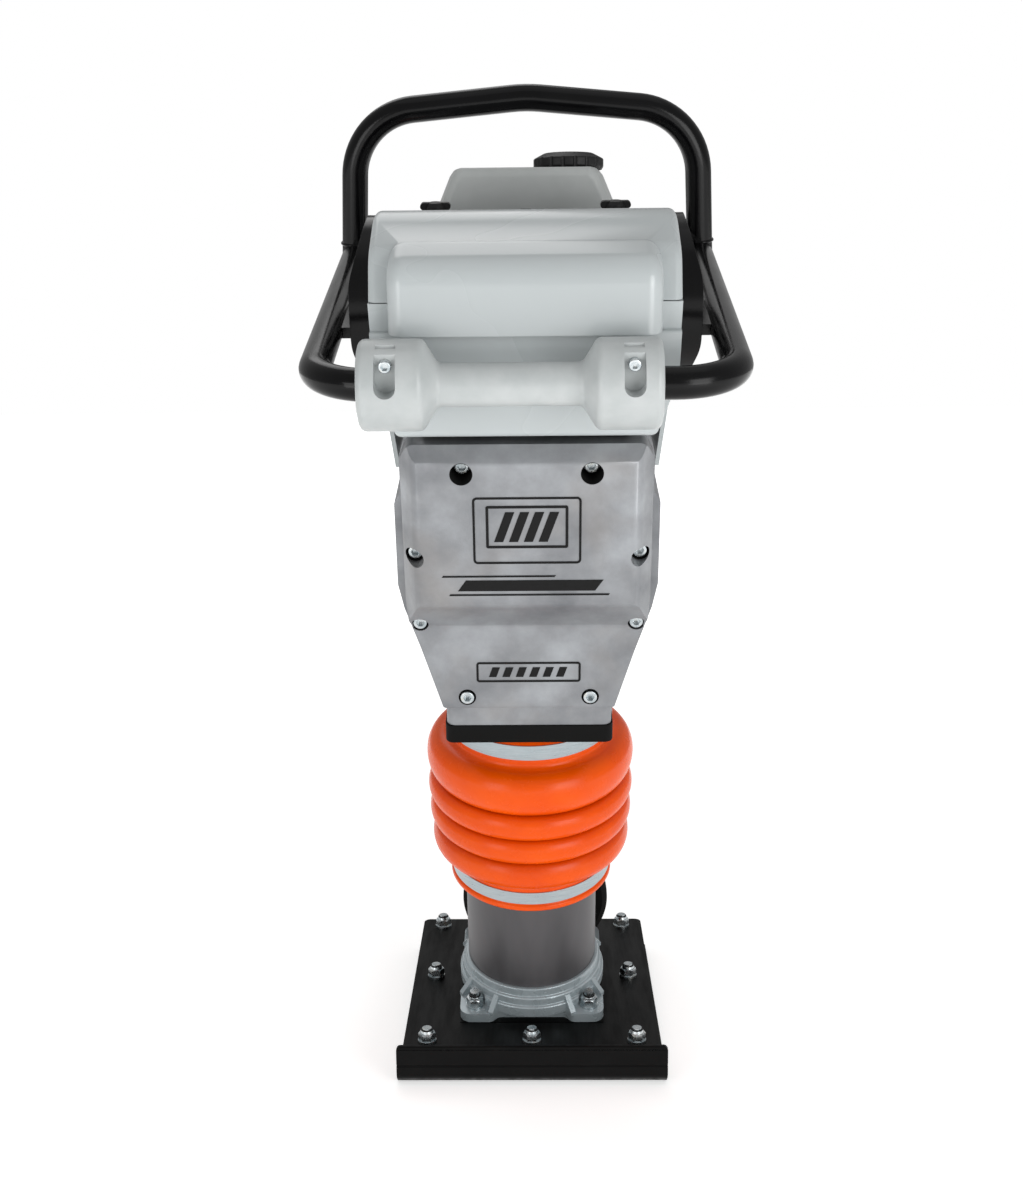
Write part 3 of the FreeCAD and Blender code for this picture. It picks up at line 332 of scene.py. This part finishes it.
def black_moulding():
    """Textured black engineering plastic."""
    def build(tree):
        return {"Base Color": shades(tree, grain(tree, 30, 3), (0.3, "#0b0b0c"), (0.7, "#121213")),
                "Specular IOR Level": 0.3, "Roughness": spread(tree, grain(tree, 1.2), 0.4, 0.55),
                "Normal": relief(tree, grain(tree, 0.9), 0.06)}
    return finish("black_nylon", build)


def rubber():
    """Matt black rubber with a chalky bloom."""
    def build(tree):
        bloom = grain(tree, 22, 4)
        return {"Base Color": shades(tree, bloom, (0.35, "#070707"), (0.8, "#0d0d0c")),
                "Specular IOR Level": 0.12, "Roughness": spread(tree, bloom, 0.62, 0.78),
                "Normal": relief(tree, grain(tree, 1.5), 0.08)}
    return finish("black_rubber", build)


def laminated_wood():
    """Beech plies pressed with dark resin, edges sealed: thin level stripes."""
    def build(tree):
        place = add(tree, "TexCoord").outputs["Object"]
        plies = add(tree, "TexWave", {"Vector": place, "Scale": MM_PER_METRE / 20, "Distortion": 0.6,
                                      "Detail": 1}, bands_direction="Z").outputs["Fac"]
        return {"Base Color": shades(tree, plies, (0.3, "#241912"), (0.7, "#3a281b")), "Roughness": 0.6,
                "Normal": relief(tree, grain(tree, 3, 3, (1, 0.1, 1)), 0.1)}
    return finish("resin_beech_plies", build)


def heat_steel():
    """Muffler steel in heat-proof black, browned where it runs hot."""
    def build(tree):
        heat = grain(tree, 30, 4)
        return {"Base Color": shades(tree, heat, (0.3, "#1a1817"), (0.6, "#2a2523"), (0.8, "#46362c")),
                "Metallic": 0.3, "Roughness": spread(tree, heat, 0.45, 0.65),
                "Normal": relief(tree, grain(tree, 1.6), 0.06)}
    return finish("heat_proof_steel", build)


def filter_foam():
    """Oiled open-cell foam."""
    def build(tree):
        place = add(tree, "TexCoord").outputs["Object"]
        cells = add(tree, "TexVoronoi", {"Vector": place, "Scale": MM_PER_METRE / 2.5}).outputs["Distance"]
        return {"Base Color": shades(tree, cells, (0.1, "#2c2710"), (0.6, "#6f6330")), "Roughness": 0.8,
                "Normal": relief(tree, cells, 0.8)}
    return finish("oiled_filter_foam", build)


def glazed_ceramic():
    """White glazed insulator."""
    return finish("glazed_ceramic", lambda tree: {
        "Base Color": shades(tree, grain(tree, 8), (0.3, "#dedbd2"), (0.7, "#ebe9e2")), "Roughness": 0.15})


def sight_window():
    """Clear window over amber oil."""
    return finish("oil_window", lambda tree: {
        "Base Color": shades(tree, grain(tree, 9), (0.3, "#a8741c"), (0.7, "#c08a2c")), "Roughness": 0.08,
        "Coat Weight": 0.6, "Coat Roughness": 0.03})


def badge_ink():
    """Black filled lettering paint, slightly glossy and worn thin in spots."""
    def build(tree):
        worn = grain(tree, 5, 3)
        return {"Base Color": shades(tree, worn, (0.3, "#060606"), (0.75, "#101011")),
                "Specular IOR Level": 0.2, "Roughness": spread(tree, worn, 0.4, 0.6),
                "Normal": relief(tree, grain(tree, 1.2), 0.04)}
    return finish("black_fill_paint", build)


def silver_casting():
    """Foot casting under silver lacquer: cool, glossy, slightly pebbled."""
    def build(tree):
        lacquer = grain(tree, 30, 3)
        return {"Base Color": shades(tree, lacquer, (0.3, "#9aa5a9"), (0.7, "#aab4b8")),
                "Metallic": 0.35, "Roughness": spread(tree, lacquer, 0.24, 0.34),
                "Normal": relief(tree, grain(tree, 2.4, 3), 0.1)}
    return finish("silver_lacquered_casting", build)


def band_steel():
    """Rolled stainless band: even, bright, with faint lines along it."""
    def build(tree):
        lines = grain(tree, 3, 2, (0.15, 0.15, 2))
        return {"Base Color": shades(tree, lines, (0.3, "#a3aeb2"), (0.7, "#b1bbbf")), "Metallic": 0.8,
                "Roughness": spread(tree, lines, 0.26, 0.34), "Normal": relief(tree, lines, 0.02)}
    return finish("rolled_stainless_band", build)


def slot_finishes():
    """One finish for each material slot in the record."""
    return {
        "shoe_black_paint": shoe_enamel(),
        "laminated_wood": laminated_wood(),
        "zinc_fastener": bright_zinc(),
        "cast_aluminium": die_cast_aluminium("die_cast_aluminium", "#717377", "#898b8e", "#a1a4a8", 0.42),
        "sleeve_steel": plated_sleeve(),
        "machined_steel": machined_steel(),
        "orange_polyurethane": polyurethane(),
        "black_rubber": rubber(),
        "grey_cowl_plastic": cowl_plastic(),
        "tank_plastic": tank_plastic(),
        "black_tube_enamel": black_enamel("black_tube_enamel", 0.16),
        "black_plastic": black_moulding(),
        "filter_foam": filter_foam(),
        "heat_steel": heat_steel(),
        "white_ceramic": glazed_ceramic(),
        "sight_glass": sight_window()}


# ------------------------------------------------------------------ building pieces
MERGE_MM = 1e-4


def piece(name, bm, material, body=None, smooth=True):
    """A bmesh drawn in the leg frame becomes an object that rides on a body."""
    bmesh.ops.transform(bm, matrix=LEG, verts=bm.verts)
    mesh = bpy.data.meshes.new(name)
    bm.to_mesh(mesh)
    bm.free()
    thing = bpy.data.objects.new(name, mesh)
    bpy.context.scene.collection.objects.link(thing)
    mesh.materials.append(material)
    mesh.polygons.foreach_set("use_smooth", [smooth] * len(mesh.polygons))
    if body:
        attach(thing, body)
    return thing


def spun(profile, steps):
    """Turn a closed (radius, height) profile about the leg's axis."""
    bm = bmesh.new()
    verts = [bm.verts.new((r, 0, z)) for r, z in profile]
    edges = [bm.edges.new(pair) for pair in zip(verts, verts[1:] + verts[:1])]
    bmesh.ops.spin(bm, geom=verts + edges, axis=(0, 0, 1), cent=(0, 0, 0), dvec=(0, 0, 0), angle=math.tau,
                   steps=steps, use_merge=True, use_duplicate=False)
    bmesh.ops.remove_doubles(bm, verts=bm.verts, dist=MERGE_MM)
    bmesh.ops.recalc_face_normals(bm, faces=bm.faces)
    return bm


# The boot in mm: its neck radius and wall, its ends, and its valleys and crests up the leg.
NECK, WALL = 83.6, 3.6
BOOT_LOW, BOOT_TOP = 173, 379
VALLEYS = [(206, NECK), (240, 90.5), (269, 92), (298, 92), (345, NECK)]
CRESTS = [104, 106, 107, 107.4]
# The rolled lip below the lower clamp.
LIP = [(NECK + 1.6, BOOT_LOW), (NECK + 2.4, 174.2), (NECK + 2.4, 177.2), (NECK + 1.2, 178.8), (NECK, 179.4)]
FOLD_STEPS, BOOT_STEPS = 16, 128
# Below 1 the folds are fuller than a half circle.
FULLNESS = 0.75
# Painted shade: the skin darkens below this radius, within these heights, down in the fold valleys.
SHADE_RADIUS, LIT_RADIUS = 93, 104
SHADE_LOW, SHADE_TOP = 214, 320


def boot_folds():
    """Each fold's lower valley, upper valley and crest radius."""
    return list(zip(VALLEYS, VALLEYS[1:], CRESTS))


def bellows(material):
    """Polyurethane boot: rounded folds between creased valleys, straight necks under the clamps."""
    skin = LIP + [(NECK, 203)]
    for (low, low_r), (high, high_r), crest in boot_folds():
        for step in range(FOLD_STEPS + 1):
            turn = math.pi * step / FOLD_STEPS
            share = (1 - math.cos(turn)) / 2
            edge_r = low_r + (high_r - low_r) * share
            skin.append((edge_r + (crest - edge_r) * math.sin(turn) ** FULLNESS, low + (high - low) * share))
    skin += [(NECK, 350), (NECK, BOOT_TOP)]
    inside = [(NECK - WALL, BOOT_TOP), (NECK - WALL, 345)]
    for (low, low_r), (high, _), crest in reversed(boot_folds()):
        inside.append((low_r - WALL, low))
        inside.insert(-1, (crest - WALL - 2, (low + high) / 2))
    inside.append((NECK - WALL, BOOT_LOW))
    bm = spun(skin + inside, BOOT_STEPS)
    # Painted shade mask: 0 deep in the fold valleys, rising to 1 on the crests and necks, for the material's
    # darker red.
    height = bm.verts.layers.float.new("painted_fold_shade")
    for v in bm.verts:
        in_shade_band = SHADE_LOW < v.co.z < SHADE_TOP
        share = (v.co.xy.length - SHADE_RADIUS) / (LIT_RADIUS - SHADE_RADIUS)
        v[height] = min(1, max(0, share)) if in_shade_band else 1
    boot = piece("bellows_boot", bm, material)
    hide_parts("bellows")
    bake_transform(boot)


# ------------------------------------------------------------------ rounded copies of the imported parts
# Edge rounding in mm for each part that the eye reaches.
EDGE_ROUNDING = {
    "wear_sole": 1.0, "foot_plate": 1.0, "foot_pedestal": 2.0, "leg_flange": 1.5, "shoe_bolts": 0.4,
    "flange_bolts": 0.4, "protection_sleeve": 0.6, "rear_bumper": 2.0, "base_rubber": 1.2, "lower_clamp": 0.3,
    "upper_clamp": 0.3, "guide_cylinder": 0.6, "crankcase": 1.6, "crankcase_cover": 1.8, "cover_bolts": 0.4,
    "engine_block": 1.2, "engine_cylinder": 0.4, "cylinder_head": 1.2, "spark_plug": 0.4, "fan_shroud": 1.0,
    "recoil_housing": 1.0, "muffler": 1.0, "muffler_guard": 0.6, "carburettor": 1.0, "air_cleaner_base": 1.0,
    "air_cleaner_cover": 1.0, "fuel_tank": 1.5, "upper_cowl": 1.2, "lower_cowl": 1.2, "lifting_hook": 1.2,
    "mount_brackets": 0.8, "fan_wheel": 0.4, "starter_grip": 1.0, "choke_lever": 0.6, "fuel_cap": 0.8,
    "fuel_cock_lever": 0.6, "cowl_knob_left": 0.8, "cowl_knob_right": 0.8, "front_loop": 0.3, "rear_hoop": 0.3,
    "side_plates": 0.8, "shock_mounts": 0.8, "mount_bolts": 0.5, "throttle_bracket": 0.6, "throttle_lever": 0.6,
    "roller_front": 1.5, "roller_rear": 1.5, "roller_bolts": 0.3}


MERGE_METRES = 2e-6
FLAT_ANGLE, SHARP_ANGLE, BEVEL_ANGLE = (math.radians(degrees) for degrees in (0.4, 32, 35))


def rounded(node, material):
    """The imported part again, with its edges rounded and its curves shaded smooth."""
    bm = bmesh.new()
    bm.from_mesh(nodes[node].data)
    bmesh.ops.remove_doubles(bm, verts=bm.verts, dist=MERGE_METRES)
    bmesh.ops.dissolve_limit(bm, angle_limit=FLAT_ANGLE, verts=bm.verts, edges=bm.edges)
    for edge in bm.edges:
        edge.smooth = edge.calc_face_angle(0) < SHARP_ANGLE
    mesh = bpy.data.meshes.new(node + "_rounded")
    bm.to_mesh(mesh)
    bm.free()
    copy = bpy.data.objects.new(node + "_rounded", mesh)
    bpy.context.scene.collection.objects.link(copy)
    mesh.materials.append(material)
    mesh.polygons.foreach_set("use_smooth", [True] * len(mesh.polygons))
    bevel = copy.modifiers.new("rounding", "BEVEL")
    bevel.width = EDGE_ROUNDING[node] / MM_PER_METRE
    bevel.segments = 2
    bevel.limit_method = "ANGLE"
    bevel.angle_limit = BEVEL_ANGLE
    bevel.harden_normals = True
    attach(copy, nodes[node]["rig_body"])
    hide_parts(node)


# ------------------------------------------------------------------ small details
# Places on the cover in leg millimetres: its two front faces, and the middle height of each badge.
COVER_UPPER_Y, COVER_LOWER_Y = -150, -125
FRAME_Z, BARS_Z, STRIPES_Z, PLATE_Z = 628.5, 632, 577, 475.5
BADGE_PROUD = 0.5
# Each stripe: lower edge, upper edge, left end, length.
STRIPES = ((-11, -9.4, -70, 142), (-6.4, 4, -62, 122), (7, 8.6, -76, 100))
STRIPE_SLANT = 0.7
# Each pair of screw wells: across, up, mouth, seat and bore radius.
SCREW_WELLS = ((56.5, 681, -149.6, -124.4, 9.8), (100, 601, -132, -124.4, 8.4),
               (99, 527, -124.6, -117.4, 7.0), (57.6, 449, -125.1, -119.4, 8.0))
WELL_SKIN, WELL_FLOOR_SHARE = 0.4, 0.82
TUBE_BEAD_R, TUBE_X, CROSSBAR_X, HOOP_Y = 13.4, 184.6, 170, 265
# Lock nuts: the shoe's, in millimetres from the shoe's middle on the ground, and the leg flange's.
SHOE_NUTS = [(x, y) for y in (-157, 0, 143) for x in (-111, 111)] + [(0, -157)]
SHOE_NUT_TOP = 53.4
FLANGE_NUTS = [(x, y) for x in (-62, 62) for y in (-62, 62)]
FLANGE_NUT_TOP = 44.4
INSERT_R, INSERT_BEAD = 5.7, 0.75


def outline(bm, half_width, half_height, corner, line):
    """Flat rim of a rounded rectangle about the origin in XY."""
    face = bmesh.ops.create_grid(bm, x_segments=1, y_segments=1, size=1)["verts"][0].link_faces[0]
    bmesh.ops.scale(bm, vec=(half_width, half_height, 1), verts=face.verts)
    made = bmesh.ops.bevel(bm, geom=list(face.verts), offset=corner, affect="VERTICES", segments=6, profile=0.5,
                           material=-1)
    face = max(made["verts"][0].link_faces, key=lambda f: f.calc_area())
    bmesh.ops.inset_individual(bm, faces=[face], thickness=line, use_even_offset=True)
    bmesh.ops.delete(bm, geom=[face], context="FACES_ONLY")


def facing_front(x, y, z):
    """From a drawing in XY to an upright face that looks forward."""
    return Matrix.Translation((x, y, z)) @ Matrix.Rotation(math.pi / 2, 4, "X")


def raised(name, bm, y, z, ink):
    """Give a flat drawing its thickness and set it on the cover."""
    grown = bmesh.ops.extrude_face_region(bm, geom=list(bm.faces))
    up = [v for v in grown["geom"] if isinstance(v, bmesh.types.BMVert)]
    bmesh.ops.translate(bm, vec=(0, 0, BADGE_PROUD), verts=up)
    bmesh.ops.transform(bm, matrix=facing_front(0, y, z), verts=bm.verts)
    bmesh.ops.recalc_face_normals(bm, faces=bm.faces)
    piece(name, bm, ink, "machine", smooth=False)


def slanted_bar(bm, x, low, high, width, lean):
    corners = [(x, low), (x + width, low), (x + width + lean, high), (x + lean, high)]
    bm.faces.new([bm.verts.new((u, v, 0)) for u, v in corners])


def cover_badges(ink):
    """Blank frames with plain slanted bars, where a maker would put a mark."""
    bm = bmesh.new()
    outline(bm, 47.5, 31.5, 4, 2.0)
    raised("badge_frame", bm, COVER_UPPER_Y, FRAME_Z, ink)
    bm = bmesh.new()
    outline(bm, 36, 20, 2, 2.4)
    for i in range(4):
        slanted_bar(bm, -29 + 13 * i, -14, 14, 8, 10)
    raised("badge_bars", bm, COVER_UPPER_Y, BARS_Z, ink)
    bm = bmesh.new()
    for low, high, x, length in STRIPES:
        slanted_bar(bm, x, low, high, length, (high - low) * STRIPE_SLANT)
    raised("badge_stripes", bm, COVER_UPPER_Y, STRIPES_Z, ink)
    bm = bmesh.new()
    outline(bm, 48.5, 10.5, 3, 2.0)
    for i in range(6):
        slanted_bar(bm, -37 + 12.5 * i, -5, 5, 7, 3.5)
    raised("plate_frame", bm, COVER_LOWER_Y, PLATE_Z, ink)


def only(kind, geometry):
    """The parts of an operator's result that are of one kind."""
    return [part for part in geometry if isinstance(part, kind)]


def painted_well_shade(material):
    """Painted shade: a dark black-rubber lining in the wells that the cover bolts sit in, with a ring on each
    floor, darkening them where shade falls.
    """
    bm = bmesh.new()
    for x, z, face, seat, bore in SCREW_WELLS:
        for side in (-1, 1):
            rim = bmesh.ops.create_circle(bm, cap_ends=False, segments=40, radius=bore)["verts"]
            bmesh.ops.transform(bm, matrix=facing_front(side * x, face, z), verts=rim)
            edges = list({e for v in rim for e in v.link_edges})
            deep = bmesh.ops.extrude_edge_only(bm, edges=edges)["geom"]
            low = only(bmesh.types.BMVert, deep)
            bmesh.ops.translate(bm, vec=(0, seat - face, 0), verts=low)
            low_edges = [e for e in only(bmesh.types.BMEdge, deep) if all(v in low for v in e.verts)]
            narrow = bmesh.ops.extrude_edge_only(bm, edges=low_edges)["geom"]
            middle = Vector((side * x, seat, z))
            bmesh.ops.scale(bm, vec=(WELL_FLOOR_SHARE, 1, WELL_FLOOR_SHARE), space=Matrix.Translation(-middle),
                            verts=only(bmesh.types.BMVert, narrow))
    bmesh.ops.recalc_face_normals(bm, faces=bm.faces)
    shade_object = piece("painted_well_shade", bm, material, "machine")
    thick = shade_object.modifiers.new("shade_sheet", "SOLIDIFY")
    thick.thickness = WELL_SKIN / MM_PER_METRE
    thick.offset = 0


def ring(bm, radius, thick, at, along, steps=40):
    """Round bead about an axis: a weld or an insert."""
    start = bmesh.ops.create_circle(bm, cap_ends=False, segments=12, radius=thick)["verts"]
    bmesh.ops.rotate(bm, matrix=Matrix.Rotation(math.pi / 2, 3, "X"), verts=start)
    bmesh.ops.translate(bm, vec=(radius, 0, 0), verts=start)
    edges = list({e for v in start for e in v.link_edges})
    bmesh.ops.spin(bm, geom=start + edges, axis=(0, 0, 1), cent=(0, 0, 0), dvec=(0, 0, 0), angle=math.tau,
                   steps=steps, use_merge=True, use_duplicate=False)
    verts = {v for e in edges for v in e.verts}
    todo = list(verts)
    while todo:
        for edge in todo.pop().link_edges:
            for v in edge.verts:
                if v not in verts:
                    verts.add(v)
                    todo.append(v)
    turn = Vector(along).to_track_quat("Z", "Y").to_matrix().to_4x4()
    bmesh.ops.transform(bm, matrix=Matrix.Translation(at) @ turn, verts=list(verts))


def weld_beads(material):
    """Fillet welds where the hoop stands on the side tubes and the crossbar meets it."""
    bm = bmesh.new()
    for side in (-1, 1):
        ring(bm, TUBE_BEAD_R, 1.7, (side * TUBE_X, HOOP_Y, 790), (side * -0.05, 0, 1))
        ring(bm, TUBE_BEAD_R, 1.6, (side * CROSSBAR_X, HOOP_Y, 791), (1, 0, 0))
    bmesh.ops.recalc_face_normals(bm, faces=bm.faces)
    piece("handle_welds", bm, material, "handle")


def nut_inserts(material):
    """Black nylon rings in the tops of the lock nuts."""
    bm = bmesh.new()
    for x, y in SHOE_NUTS:
        ring(bm, INSERT_R, INSERT_BEAD, (x, y, SHOE_NUT_TOP), (0, 0, 1), 24)
    to_leg = LEG.inverted() @ Matrix.Scale(1 / MM_PER_METRE, 4)
    bmesh.ops.transform(bm, matrix=to_leg, verts=bm.verts)
    for x, y in FLANGE_NUTS:
        ring(bm, INSERT_R, INSERT_BEAD, (x, y, FLANGE_NUT_TOP), (0, 0, 1), 24)
    bmesh.ops.recalc_face_normals(bm, faces=bm.faces)
    piece("nut_inserts", bm, material, "foot")


# ------------------------------------------------------------------ scene
camera()
studio()
finishes = slot_finishes()
own_finish = {"leg_flange": silver_casting(), "lower_clamp": band_steel()}
own_finish["upper_clamp"] = own_finish["lower_clamp"]
own_finish["roller_front"] = own_finish["roller_rear"] = roller_plastic()
for part in frame["record"]["subparts"]:
    node, slot = part["node"], part["material_slot"]
    if node in EDGE_ROUNDING:
        rounded(node, own_finish.get(node, finishes[slot]))
    elif node != "bellows":
        nodes[node].data.materials.clear()
        nodes[node].data.materials.append(finishes[slot])
bellows(finishes["orange_polyurethane"])
cover_badges(badge_ink())
weld_beads(finishes["black_tube_enamel"])
nut_inserts(finishes["black_plastic"])
# Painted shade: a dark sheet lining the cover's screw wells.
painted_well_shade(finishes["black_rubber"])
